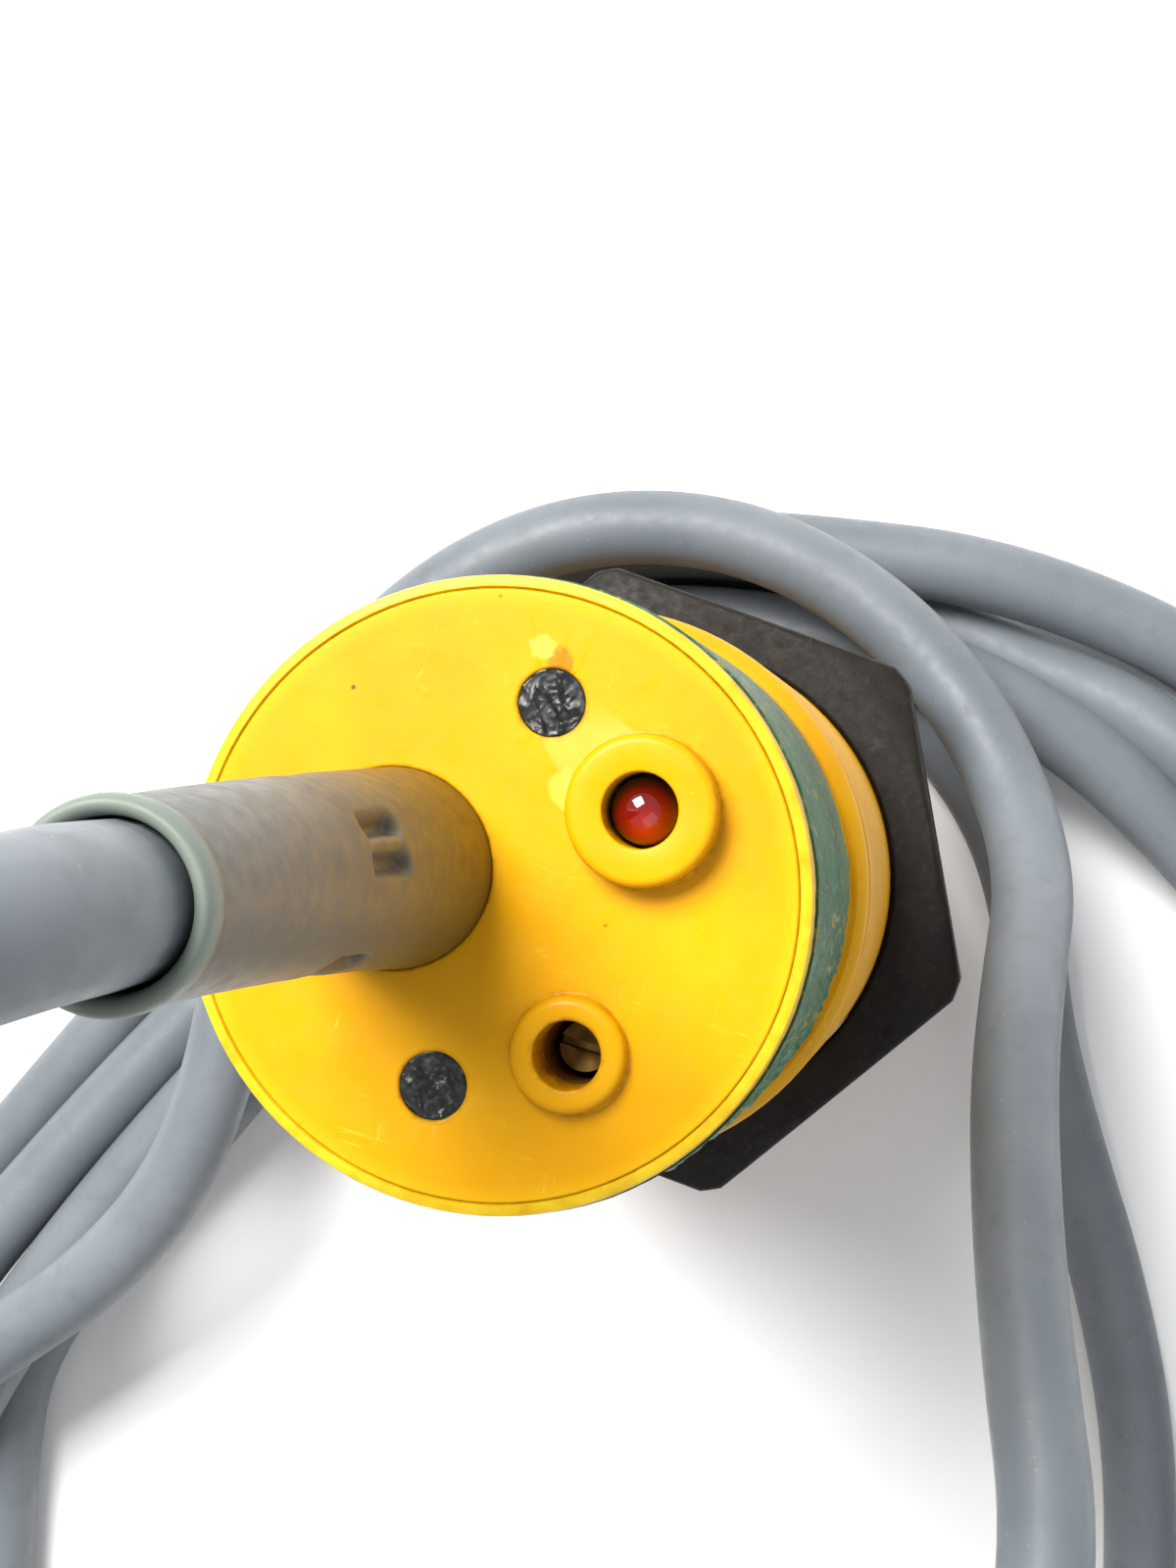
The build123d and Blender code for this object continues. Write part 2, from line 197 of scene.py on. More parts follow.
def scratches(paint, per_mm, turn):
    """Thin broken lines: a narrow slice of a noise drawn out along one direction."""
    drawn_out = 0.06
    stretch = (drawn_out, 1.0, 1.0) if turn else (1.0, drawn_out, 1.0)
    lines = paint.noise(per_mm, 2.0, stretch=stretch, shift=(3.0 * turn, 5.0, 1.0))
    slit = paint.span(paint.away(lines, 0.5), 0.0, 0.004, 1.0, 0.0)
    return paint.times(slit, paint.span(paint.noise(0.25, 2.0), 0.52, 0.62))


def yellow_plastic(name, cap=False):
    """Satin moulded plastic: slight mottling, scratches, grime specks and handling marks."""
    paint = Surface(name, roughness=0.36, Specular_IOR_Level=0.18, Subsurface_Weight=0.06,
                    Subsurface_Scale=0.0006, Coat_Weight=0.02, Coat_Roughness=0.2)
    # The barrel's tones are a little darker than the cap's, which is the same plastic: painted shade for the
    # barrel's side.
    tones = [(200, 144, 0), (207, 151, 0), (213, 158, 0)]
    if cap:
        tones = [(214, 151, 0), (220, 158, 0), (225, 164, 0)]
    colour = paint.ramp(paint.noise(0.16, 5.0), *zip((0.3, 0.5, 0.72), tones))
    colour = paint.layer(paint.span(paint.noise(0.9, 6.0), 0.58, 0.75, 0.0, 0.25), colour, (214, 148, 4))
    for turn in (0, 1):
        scratched = paint.times(scratches(paint, 1.2, turn), 0.45)
        colour = paint.layer(scratched, colour, (240, 200, 60))
    specks = paint.span(paint.cells(0.42), 0.035, 0.06, 0.85, 0.0)
    patches = paint.span(paint.noise(0.3, 2.0, shift=(9, 2, 4)), 0.53, 0.58)
    colour = paint.layer(paint.times(specks, patches), colour, (84, 58, 14))
    marks = cap_marks if cap else barrel_marks
    paint.colour(marks(paint, colour))
    paint.rough(paint.noise(0.7, 5.0), 0.27, 0.46)
    paint.bump(paint.noise(2.6, 3.0), 0.012, 0.6)
    paint.bump(paint.noise(0.22, 2.0), 0.05, 0.35)
    return paint.material


# Each stain's or chip's centre on the cap, its size in mm and its tint
CAP_STAINS = [((-0.2, 10.5), 1.15, (160, 104, 20)), ((-1.1, 10.9), 1.0, (240, 196, 84)),
              ((1.9, 5.4), 1.6, (238, 196, 70))]
# Each edge with painted shade round it: its centre on the cap and its radius
SHADED_EDGES = [((0.0, PLUG_Y), PLUG_R), ((0.0, -PLUG_Y), PLUG_R), (TRIMMER_XY, TRIMMER_R),
               (RELIEF_XY, RELIEF_R), (LAMP_XY, LAMP_COLLAR_R), (TRIMMER_XY, TRIMMER_COLLAR_R)]
FLAT = (1, 1, 0)


def cap_marks(paint, colour):
    """Seam round the disc, stains and chips by the upper plug, crazing beside the lamp's collar, a painted
    highlight at the cap's edge, and painted shade round the holes, the collars and the relief.
    """
    from_axis = paint.reach((0, 0, 0), FLAT)
    # A painted highlight: the cap is paler towards its edge.
    rim = paint.span(from_axis, 12.6, 13.3)
    colour = paint.layer(paint.times(rim, 0.35), colour, (232, 186, 20))
    seam = paint.span(paint.away(from_axis, SEAT_R - 0.04), 0.01, 0.08, 0.5, 0.0)
    broken = paint.span(paint.noise(0.5, 3.0, shift=(1, 1, 1)), 0.35, 0.55, 0.25, 0.9)
    colour = paint.layer(paint.times(seam, broken), colour, (150, 106, 6))
    ragged = paint.noise(1.5, 5.0, distortion=1.0)
    for centre, size, tint in CAP_STAINS:
        near = paint.span(paint.reach((*centre, TOP_Z)), 0.2 * size, size, 1.0, 0.0)
        mark = paint.span(paint.times(near, ragged), 0.24, 0.34, 0.0, 0.7)
        colour = paint.layer(mark, colour, tint)
    # Painted shade: a ragged darker ring at each hole's edge and at the foot of each collar and of the
    # relief.
    for centre, radius in SHADED_EDGES:
        edge = paint.away(paint.reach((*centre, TOP_Z), FLAT), radius + 0.05)
        edge_shade = paint.times(paint.span(edge, 0.02, 0.2, 0.5, 0.0), paint.span(ragged, 0.35, 0.65))
        colour = paint.layer(edge_shade, colour, (140, 92, 8))
    return colour


def barrel_marks(paint, colour):
    """Painted shade with dust in the thread's roots, painted shade in patches just below the rim, and a paler
    worn edge at the disc end.
    """
    from_axis = paint.reach((0, 0, 0), FLAT)
    # Darker in the thread's roots: partly dust, partly painted shade.
    groove = paint.span(from_axis, THREAD_ROOT, THREAD_ROOT + 0.6, 0.45, 0.0)
    threaded = paint.span(paint.height(), 53.0, 54.0, 1.0, 0.0)
    dust_and_shade = paint.times(paint.times(groove, threaded), paint.span(paint.noise(0.35), 0.4, 0.6))
    colour = paint.layer(dust_and_shade, colour, (176, 132, 12))
    rim = paint.span(paint.height(), TOP_Z - 0.7, TOP_Z - 0.1)
    broken = paint.span(paint.noise(0.8), 0.3, 0.6, 0.3, 0.9)
    colour = paint.layer(paint.times(rim, broken), colour, (236, 204, 40))
    # Painted shade, in patches, over the top 2.6 mm of the side up to the rim.
    shade_below_rim = paint.times(paint.span(paint.height(), TOP_Z - 2.6, TOP_Z - 1.4, 0.0, 0.5), paint.noise(0.6, 5.0))
    return paint.layer(shade_below_rim, colour, (180, 138, 16))


def label_film():
    """Worn teal print: faded patches, blistered glossy green spots, yellow showing through."""
    paint = Surface("label_film", roughness=0.55, Specular_IOR_Level=0.2, Coat_Weight=0.05,
                    Coat_Roughness=0.25)
    colour = paint.ramp(paint.noise(0.22, 5.0), (0.3, (34, 72, 38)), (0.5, (44, 89, 48)),
                        (0.72, (60, 108, 62)))
    blotch = paint.noise(0.8, 6.0, shift=(4, 7, 1), distortion=1.4)
    worn = paint.span(paint.reach((13.3, -4.5, 68)), 3.0, 11.5, 1.0, 0.0)
    green = paint.times(paint.span(blotch, 0.47, 0.55), worn)
    colour = paint.layer(green, colour, (20, 70, 42))
    bright = paint.times(paint.span(blotch, 0.55, 0.6), worn)
    colour = paint.layer(paint.times(bright, 0.7), colour, (70, 146, 88))
    rubbed = paint.span(paint.noise(1.3, 6.0, stretch=(1, 1, 0.3), shift=(2, 2, 2)), 0.6, 0.66, 0.0, 0.75)
    colour = paint.layer(rubbed, colour, (140, 134, 36))
    colour = paint.layer(paint.times(scratches(paint, 1.0, 1), 0.6), colour, (160, 160, 90))
    paint.colour(colour)
    paint.rough(blotch, 0.6, 0.22)
    paint.bump(blotch, 0.09, 0.7)
    paint.bump(paint.noise(3.0), 0.02, 0.5)
    return paint.material


def relief_rubber():
    """Soft grey-brown moulding, with painted yellow light from the cap towards its foot, painted shade in its
    slots and a painted highlight on its open end.
    """
    paint = Surface("relief_rubber", roughness=0.46, Specular_IOR_Level=0.4, Subsurface_Weight=0.2,
                    Subsurface_Scale=0.0012)
    z = paint.height()
    up = paint.span(z, TOP_Z, TOP_Z + RELIEF_LENGTH - 1)
    # Warm and yellower near the cap: painted light from the yellow cap; further up, the moulding's own grey.
    body = paint.ramp(up, (0.0, (112, 88, 26)), (0.25, (104, 88, 48)), (0.55, (98, 92, 78)),
                      (1.0, (92, 94, 92)))
    body = paint.layer(paint.span(paint.noise(0.5, 5.0), 0.5, 0.75, 0.0, 0.25), body, (78, 68, 50))
    from_middle = paint.reach((*RELIEF_XY, 0), FLAT)
    beside_slots = paint.times(paint.span(z, 90.0, 91.0), paint.span(z, 99.0, 100.0, 1.0, 0.0))
    # Painted shade in the slots.
    slot_shade = paint.times(paint.span(from_middle, 3.1, 3.86, 0.75, 0.0), beside_slots)
    body = paint.layer(slot_shade, body, (52, 40, 26))
    # A painted highlight on the top of the rolled ring at the open end.
    edge = paint.span(z, 113.3, 114.1)
    body = paint.layer(paint.times(edge, 0.9), body, (116, 128, 118))
    paint.colour(body)
    paint.rough(paint.noise(1.2), 0.38, 0.56)
    paint.bump(paint.noise(2.2, 4.0), 0.02, 0.6)
    return paint.material


def cable_jacket():
    """Matte grey jacket: faint blooms of lighter grey, rub marks and a fine extruded grain."""
    paint = Surface("cable_jacket", roughness=0.5, Specular_IOR_Level=0.42, Sheen_Weight=0.06,
                    Sheen_Roughness=0.5)
    colour = paint.ramp(paint.noise(0.09, 5.0), (0.3, (101, 108, 114)), (0.5, (109, 116, 122)),
                        (0.7, (117, 123, 129)))
    colour = paint.layer(paint.span(paint.noise(0.7, 6.0), 0.56, 0.74, 0.0, 0.3), colour, (92, 92, 96))
    dust_and_shade = paint.span(paint.cells(0.9, shift=(1, 4, 2)), 0.05, 0.1, 0.3, 0.0)
    colour = paint.layer(dust_and_shade, colour, (150, 152, 155))
    paint.colour(colour)
    paint.rough(paint.noise(0.9, 5.0), 0.42, 0.6)
    paint.bump(paint.noise(4.0, 2.0), 0.012, 0.5)
    paint.bump(paint.noise(0.3, 2.0), 0.06, 0.3)
    return paint.material


def black_nylon():
    """The nut's satin black, greyed by dust."""
    paint = Surface("black_nylon", roughness=0.55, Specular_IOR_Level=0.25)
    colour = paint.ramp(paint.noise(0.5, 6.0), (0.3, (19, 17, 13)), (0.7, (31, 27, 21)))
    dust_and_shade = paint.span(paint.noise(1.6, 6.0, shift=(5, 1, 3)), 0.6, 0.75, 0.0, 0.2)
    colour = paint.layer(dust_and_shade, colour, (84, 77, 66))
    paint.colour(colour)
    paint.rough(paint.noise(1.4, 5.0), 0.44, 0.68)
    paint.bump(paint.noise(5.0, 3.0), 0.02, 0.7)
    paint.bump(paint.noise(0.6, 3.0), 0.08, 0.4)
    return paint.material


def resin():
    """Cast resin with a wrinkled, half-glossy skin."""
    paint = Surface("black_resin", roughness=0.42, Specular_IOR_Level=0.35, Coat_Weight=0.1,
                    Coat_Roughness=0.2)
    wrinkle = paint.noise(1.4, 6.0, distortion=1.2)
    colour = paint.ramp(wrinkle, (0.35, (16, 17, 18)), (0.6, (36, 38, 38)), (0.75, (66, 68, 66)))
    paint.colour(colour)
    paint.rough(wrinkle, 0.22, 0.5)
    paint.bump(paint.noise(3.0, 5.0), 0.05, 0.6)
    return paint.material


def red_lens():
    """Tinted epoxy with painted light: dark at the rim, orange-red where light gathers low in the dome."""
    paint = Surface("red_lens", roughness=0.06, Coat_Weight=0.5, Coat_Roughness=0.03, IOR=1.5,
                    Specular_IOR_Level=0.6, Transmission_Weight=0.15)
    # Painted light: orange-red near a spot low in the dome, painted shade towards the rim.
    lit_spot_reach = paint.reach((LAMP_XY[0] + 0.4, LAMP_XY[1] - 0.75, TOP_Z + 0.9))
    colour = paint.ramp(paint.span(lit_spot_reach, 0.2, 1.9), (0.0, (176, 34, 8)), (0.45, (128, 8, 3)),
                        (1.0, (64, 3, 3)))
    colour = paint.layer(paint.span(paint.noise(1.8), 0.5, 0.7, 0.0, 0.25), colour, (100, 5, 5))
    paint.colour(colour)
    paint.rough(paint.noise(1.0), 0.04, 0.1)
    paint.bump(paint.noise(0.9, 1.0), 0.02, 0.3)
    return paint.material


def plain_moulding(name, dark, light, roughness):
    """A moulded, painted or insulated surface with tone and gloss that wander a little."""
    paint = Surface(name, roughness=roughness)
    paint.colour(paint.ramp(paint.noise(0.75, 5.0), (0.3, dark), (0.7, light)))
    paint.rough(paint.noise(1.5), roughness - 0.08, roughness + 0.1)
    paint.bump(paint.noise(4.5, 3.0), 0.015, 0.6)
    return paint.material


def bare_metal(name, dark, light, roughness=0.3):
    """Metal dulled in patches, with a fine upright grain."""
    paint = Surface(name, roughness=roughness, metallic=1.0)
    tarnish = paint.noise(0.9, 6.0)
    paint.colour(paint.ramp(tarnish, (0.35, dark), (0.65, light)))
    paint.rough(tarnish, roughness + 0.15, roughness)
    paint.bump(paint.noise(4.0, 3.0, stretch=(1, 1, 0.1)), 0.01, 0.6)
    return paint.material


def make_finishes():
    """One material for each material slot of the record."""
    return {
        "yellow_housing": yellow_plastic("yellow_housing"),
        "green_film": label_film(),
        "grey_relief": relief_rubber(),
        "grey_jacket": cable_jacket(),
        "black_nylon": black_nylon(),
        "black_resin": resin(),
        "red_lens": red_lens(),
        "plated_clip": bare_metal("plated_clip", (150, 150, 148), (196, 196, 194)),
        "tinned_wire": bare_metal("tinned_wire", (168, 168, 166), (214, 214, 212), 0.25),
        "copper_foil": bare_metal("copper_foil", (150, 84, 50), (206, 130, 88), 0.35),
        "brass_screw": bare_metal("brass_screw", (120, 100, 52), (200, 168, 96), 0.4),
        "board_laminate": plain_moulding("board_laminate", (14, 70, 38), (24, 92, 50), 0.35),
        "chip_moulding": plain_moulding("chip_moulding", (28, 28, 28), (42, 42, 42), 0.6),
        "chip_ceramic": plain_moulding("chip_ceramic", (166, 138, 100), (196, 166, 124), 0.45),
        "tantalum_moulding": plain_moulding("tantalum_moulding", (190, 124, 24), (220, 156, 40), 0.45),
        "blue_trimmer": plain_moulding("blue_trimmer", (22, 60, 140), (36, 84, 176), 0.4),
        "well_rubber": plain_moulding("well_rubber", (120, 80, 16), (160, 112, 26), 0.55),
        "brown_insulation": plain_moulding("brown_insulation", (84, 48, 26), (106, 62, 34), 0.4),
        "blue_insulation": plain_moulding("blue_insulation", (22, 62, 150), (34, 84, 184), 0.4),
        "black_insulation": plain_moulding("black_insulation", (24, 24, 26), (40, 40, 42), 0.4),
    }


# ---------------------------------------------------------------- camera and light

CAMERA_PLACE = (20.05, 8.69, 184.53)
CAMERA_AIM = (2.60, 5.86, 80.0)
PICTURE_UP = (-0.3009, 0.9533, 0.0)


def add_camera():
    """Nearly straight down onto the rear cap, rolled so that the lamp is at the right."""
    camera = bpy.data.objects.new("camera", bpy.data.cameras.new("camera"))
    bpy.context.scene.collection.objects.link(camera)
    bpy.context.scene.camera = camera
    camera.data.sensor_fit = "VERTICAL"
    camera.data.sensor_width = 27.0
    camera.data.sensor_height = 36.0
    camera.data.lens = 56.25
    camera.data.clip_start = 0.005
    place, aim = Vector(CAMERA_PLACE) * MM, Vector(CAMERA_AIM) * MM
    back = (place - aim).normalized()
    right = Vector(PICTURE_UP).cross(back).normalized()
    up = back.cross(right)
    camera.matrix_world = Matrix.Translation(place) @ Matrix((right, up, back)).transposed().to_4x4()


def add_area(name, place, aim, size, watts, colour):
    """A square soft light that faces a point; places and sizes are in metres."""
    lamp = bpy.data.lights.new(name, "AREA")
    lamp.shape = "SQUARE"
    lamp.size = size
    lamp.energy = watts
    lamp.color = colour
    holder = bpy.data.objects.new(name, lamp)
    bpy.context.scene.collection.objects.link(holder)
    holder.location = place
    holder.rotation_euler = (Vector(aim) - Vector(place)).to_track_quat("-Z", "Y").to_euler()


def add_light():
    """One large window light, a faint fill opposite it, and a pale surround."""
    middle = (0.0, 0.0, 0.05)
    add_area("window", (-0.26, 0.24, 0.58), middle, 0.32, 8.6, (1.0, 0.985, 0.96))
    add_area("room", (0.4, -0.3, 0.6), middle, 0.6, 0.8, (0.95, 0.97, 1.0))
    world = bpy.data.worlds.new("world")
    bpy.context.scene.world = world
    world.use_nodes = True
    background = world.node_tree.nodes["Background"]
    background.inputs["Color"].default_value = (0.95, 0.97, 1.0, 1.0)
    background.inputs["Strength"].default_value = 0.5


def add_floor():
    """A pale sheet just under the switch."""
    bpy.ops.mesh.primitive_plane_add(size=4.0, location=(0, 0, -0.0002))
    floor = bpy.context.object
    floor.name = "floor"
    paint = Surface("floor", roughness=0.75)
    paint.colour(paint.ramp(paint.noise(0.05), (0.0, (246, 246, 246)), (1.0, (251, 251, 250))))
    floor.data.materials.append(paint.material)


# ---------------------------------------------------------------- mesh pieces

def obj_of(name, mesh_data, slot, *replaced, sharp=38):
    """Puts a mesh made in mm into the scene, on its body, with its slot and material."""
    mesh = bpy.data.meshes.new(name)
    bmesh.ops.scale(mesh_data, vec=(MM, MM, MM), verts=mesh_data.verts)
    bmesh.ops.remove_doubles(mesh_data, verts=mesh_data.verts, dist=1e-6)
    bmesh.ops.recalc_face_normals(mesh_data, faces=mesh_data.faces)
    for face in mesh_data.faces:
        face.smooth = True
    mesh_data.to_mesh(mesh)
    mesh_data.free()
    mesh.set_sharp_from_angle(angle=math.radians(sharp))
    obj = bpy.data.objects.new(name, mesh)
    bpy.context.scene.collection.objects.link(obj)
    mesh.materials.append(finishes[slot])
    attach(obj, HOUSING)
    if replaced:
        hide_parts(*replaced)
    return obj


def add_loop(mesh, lower, upper):
    """Quads between two closed rings of vertices."""
    count = len(lower)
    for j in range(count):
        k = (j + 1) % count
        mesh.faces.new((lower[j], lower[k], upper[k], upper[j]))


def ring_of(mesh, centre, r, z, count):
    """A level ring of vertices."""
    angles = [2 * math.pi * j / count for j in range(count)]
    return [mesh.verts.new((centre[0] + r * math.cos(a), centre[1] + r * math.sin(a), z)) for a in angles]


def lathe(mesh, profile, centre=(0.0, 0.0), count=AROUND):
    """Turns an open line of (radius, height) points about a vertical line."""
    rings = [ring_of(mesh, centre, r, z, count) for r, z in profile]
    for lower, upper in zip(rings, rings[1:]):
        add_loop(mesh, lower, upper)
    return rings


# How far out each row of the thread stands, over one pitch from root to root
THREAD_FORM = [0.0, 0.12, 0.55, 0.92, 1.0, 0.92, 0.55, 0.12]
PITCH_ROWS = len(THREAD_FORM)
RUN_OUT = 1.6


def thread_row(mesh, i):
    """One row of the thread's skin, laid along the helix and fading out at both ends."""
    low, high = THREAD_Z
    row = []
    for j in range(AROUND):
        angle = 2 * math.pi * j / AROUND
        z = min(max(low - PITCH + PITCH * (i / PITCH_ROWS + j / AROUND), low), high)
        fade = max(min(1.0, (z - low) / RUN_OUT, (high - z) / RUN_OUT), 0.0)
        r = THREAD_ROOT + (THREAD_R - THREAD_ROOT) * THREAD_FORM[i % PITCH_ROWS] * fade
        row.append(mesh.verts.new((r * math.cos(angle), r * math.sin(angle), z)))
    return row


def add_thread(mesh):
    """The thread's skin: where a row has gone once round, it meets the row one pitch up."""
    turns = int((THREAD_Z[1] - THREAD_Z[0]) / PITCH) + 3
    rows = [thread_row(mesh, i) for i in range(PITCH_ROWS * turns)]
    for i in range(len(rows) - PITCH_ROWS - 1):
        row, above = rows[i], rows[i + 1]
        for j in range(AROUND - 1):
            mesh.faces.new((row[j], row[j + 1], above[j + 1], above[j]))
        mesh.faces.new((row[-1], rows[i + PITCH_ROWS][0], rows[i + PITCH_ROWS + 1][0], above[-1]))


def add_barrel():
    """The threaded tube: the thread's skin, closed by a turned one that goes up inside and back."""
    mesh = bmesh.new()
    add_thread(mesh)
    sensing_end = [(THREAD_ROOT, THREAD_Z[0]), (13.95, 0.25), (13.75, 0.06), (SEAT_R + 0.1, 0.0),
                   (SEAT_R, 0.08)]
    inside = [(SEAT_R, 2.0), (BORE_R, 2.0), (BORE_R, SEAT_Z), (SEAT_R, SEAT_Z), (SEAT_R, TOP_Z - 0.1)]
    rear_rim = [(SEAT_R + 0.07, TOP_Z), (REAR_R - 0.28, TOP_Z), (REAR_R - 0.08, TOP_Z - 0.08),
                (REAR_R, TOP_Z - 0.3)]
    step = [(REAR_R, STEP_Z + 0.1), (REAR_R + 0.1, STEP_Z), (THREAD_R - 0.6, STEP_Z),
            (THREAD_R - 0.12, STEP_Z - 0.4), (THREAD_R, STEP_Z - 0.65), (THREAD_R, STEP_Z - 0.9),
            (THREAD_R - 0.1, STEP_Z - 1.05), (THREAD_ROOT, THREAD_Z[1])]
    lathe(mesh, sensing_end + inside + rear_rim + step)
    squashed = [f for f in mesh.faces if f.calc_area() < 1e-9]
    bmesh.ops.delete(mesh, geom=squashed, context="FACES")
    bmesh.ops.delete(mesh, geom=[v for v in mesh.verts if not v.link_faces], context="VERTS")
    obj_of("barrel", mesh, "yellow_housing", "threaded_barrel")


def band_edge(angle, base, size, seed):
    """A torn edge: rough where it is worn, straight elsewhere."""
    wear = max(0.0, math.cos(angle - WORN_SIDE)) ** 2
    rough = noise.noise(Vector((math.cos(angle) * 6, math.sin(angle) * 6, seed)))
    fine = noise.noise(Vector((math.cos(angle) * 30, math.sin(angle) * 30, seed + 3)))
    return base + size * (0.15 + 0.85 * wear) * (rough + 0.5 * fine)


BAND_COLUMNS, BAND_ROWS, BAND_GAP = 420, 40, math.radians(20)


def band_skin(mesh, radius, blistered):
    """One face of the film, as columns of vertices; blisters lift it where it is worn."""
    skin = []
    for j in range(BAND_COLUMNS + 1):
        angle = -math.pi + BAND_GAP + (2 * math.pi - 2 * BAND_GAP) * j / BAND_COLUMNS
        low, high = band_edge(angle, BAND_Z[0], 2.2, 1.0), band_edge(angle, BAND_Z[1], 0.6, 8.0)
        worn = max(0.0, math.cos(angle - WORN_SIDE)) ** 4
        column = []
        for i in range(BAND_ROWS + 1):
            z = low + (high - low) * i / BAND_ROWS
            lump = worn * max(0.0, noise.noise(Vector((angle * 14, z * 1.1, 5.0)))) * 0.45
            r = radius + (lump if blistered and 0 < i < BAND_ROWS else 0.0)
            column.append(mesh.verts.new((r * math.cos(angle), r * math.sin(angle), z)))
        skin.append(column)
    return skin


def add_band():
    """The film round the rear end, with a torn lower edge, blisters, and a gap at the back."""
    mesh = bmesh.new()
    inner = band_skin(mesh, REAR_R + 0.01, blistered=False)
    outer = band_skin(mesh, REAR_R + 0.12, blistered=True)
    for skin in (inner, outer):
        for a, b in zip(skin, skin[1:]):
            for i in range(BAND_ROWS):
                mesh.faces.new((a[i], b[i], b[i + 1], a[i + 1]))
    for i in range(BAND_ROWS):
        for end in (0, -1):
            mesh.faces.new((inner[end][i], outer[end][i], outer[end][i + 1], inner[end][i + 1]))
    for j in range(BAND_COLUMNS):
        for row in (0, -1):
            mesh.faces.new((inner[j][row], inner[j + 1][row], outer[j + 1][row], outer[j][row]))
    obj_of("label_band", mesh, "green_film", "identification_band")


PLUG_RINGS, PLUG_SIDES = 24, 72


def plug_height(px, py, seed):
    """The resin's surface, just about level with the cap: a few ridges over finer folds."""
    ridge = 1 - abs(noise.noise(Vector((px * 1.1 + 0.6 * py, py * 0.7, seed)))) * 2.4
    fold = 1 - abs(noise.noise(Vector((px * 2.6, py * 2.2, seed + 4)))) * 2
    return TOP_Z - 0.12 + 0.11 * max(ridge, 0) ** 3 + 0.03 * max(fold, 0) ** 2


def add_plug(name, x, y, seed):
    """The resin in a filling hole, with a skirt that goes down into the hole."""
    mesh = bmesh.new()
    rings = []
    for i in range(1, PLUG_RINGS + 1):
        r = (PLUG_R - 0.005) * i / PLUG_RINGS
        drop = 0.05 if i == PLUG_RINGS else 0.0
        ring = []
        for j in range(PLUG_SIDES):
            a = 2 * math.pi * j / PLUG_SIDES
            px, py = r * math.cos(a), r * math.sin(a)
            ring.append(mesh.verts.new((x + px, y + py, plug_height(px, py, seed) - drop)))
        rings.append(ring)
    middle = mesh.verts.new((x, y, TOP_Z - 0.07))
    for j in range(PLUG_SIDES):
        mesh.faces.new((middle, rings[0][j], rings[0][(j + 1) % PLUG_SIDES]))
    for a, b in zip(rings, rings[1:]):
        add_loop(mesh, a, b)
    skirt = [mesh.verts.new((v.co.x, v.co.y, TOP_Z - 0.5)) for v in rings[-1]]
    add_loop(mesh, rings[-1], skirt)
    mesh.faces.new(skirt)
    obj_of(name, mesh, "black_resin")


def add_lens():
    """A 3 mm lamp: a dome on a round body with a flange."""
    mesh = bmesh.new()
    dome_z = TOP_Z - 0.15
    angles = [math.radians(a) for a in range(0, 90, 6)]
    dome = [(LENS_R * math.cos(a), dome_z + LENS_R * math.sin(a)) for a in angles]
    flange = [(1.9, 74.4), (1.9, 75.2), (1.55, 75.25), (LENS_R, 75.4)]
    rings = lathe(mesh, flange + dome + [(0.04, dome_z + LENS_R)], LAMP_XY, 64)
    mesh.faces.new(rings[0])
    mesh.faces.new(rings[-1])
    obj_of("lamp_lens", mesh, "red_lens", "lamp")


def along_relief(z):
    """0 at the cap and 1 at the open end."""
    return max(0.0, (z - TOP_Z) / RELIEF_LENGTH)


def relief_centre(z):
    """The moulding leans a little, as the cable's pull has bent it."""
    t = along_relief(z)
    return RELIEF_XY[0] + 0.15 * t * t, RELIEF_XY[1] - 0.8 * t * t


# The slots, a pair in each quarter: their angles in degrees, their middle's height, their depth
SLOT_ANGLES, SLOT_Z, SLOT_DEPTH = (25, 48), 95.0, 0.6


def slot_depth(angle, z):
    """How deep a slot is at this place: full depth inside, soft at the edge."""
    degrees = math.degrees(angle) % 90
    off = math.radians(min(abs(degrees - middle) for middle in SLOT_ANGLES)) * 4.0
    along = max(0.0, abs(z - SLOT_Z) - 1.9) / 0.6
    reach = math.hypot(off / 0.6, along)
    fall = min(1.0, max(0.0, (1.25 - reach) / 1.1))
    return SLOT_DEPTH * fall * fall * (3 - 2 * fall)


# The open end's rolled ring, as (radius, height), and then the bore back down
RELIEF_END = [(3.26, 113.4), (3.36, 113.7), (3.41, 114.2), (3.39, 114.6), (3.31, 114.88), (3.18, 115.0),
              (3.0, 114.98), (2.82, 114.85), (2.72, 114.5), (2.68, 113.8), (2.66, 113.3), (2.64, 112.0),
              (2.64, 78.0)]
RELIEF_SIDES = 192


def add_relief():
    """The tapered sleeve round the cable; its rows lie closest together at the slots."""
    mesh = bmesh.new()
    heights = [78.0 + 0.5 * i for i in range(4)] + [80.0 + 0.6 * i for i in range(20)]
    heights += [92.0 + 0.15 * i for i in range(40)] + [98.0 + 0.55 * i for i in range(28)]
    taper = [(RELIEF_R - 1.22 * along_relief(z) ** 0.85, z) for z in heights if z < 113.3]
    rings = []
    for i, (r, z) in enumerate(taper + RELIEF_END):
        cx, cy = relief_centre(z)
        ring = []
        for j in range(RELIEF_SIDES):
            a = 2 * math.pi * j / RELIEF_SIDES
            cut = slot_depth(a, z) if i < len(taper) else 0.0
            ring.append(mesh.verts.new((cx + (r - cut) * math.cos(a), cy + (r - cut) * math.sin(a), z)))
        rings.append(ring)
    for a, b in zip(rings, rings[1:] + [rings[0]]):
        add_loop(mesh, a, b)
    obj_of("relief_sleeve", mesh, "grey_relief", "strain_relief", sharp=70)


# ---------------------------------------------------------------- the cable

# In metres: the cable's diameter
CABLE_D = 0.0052
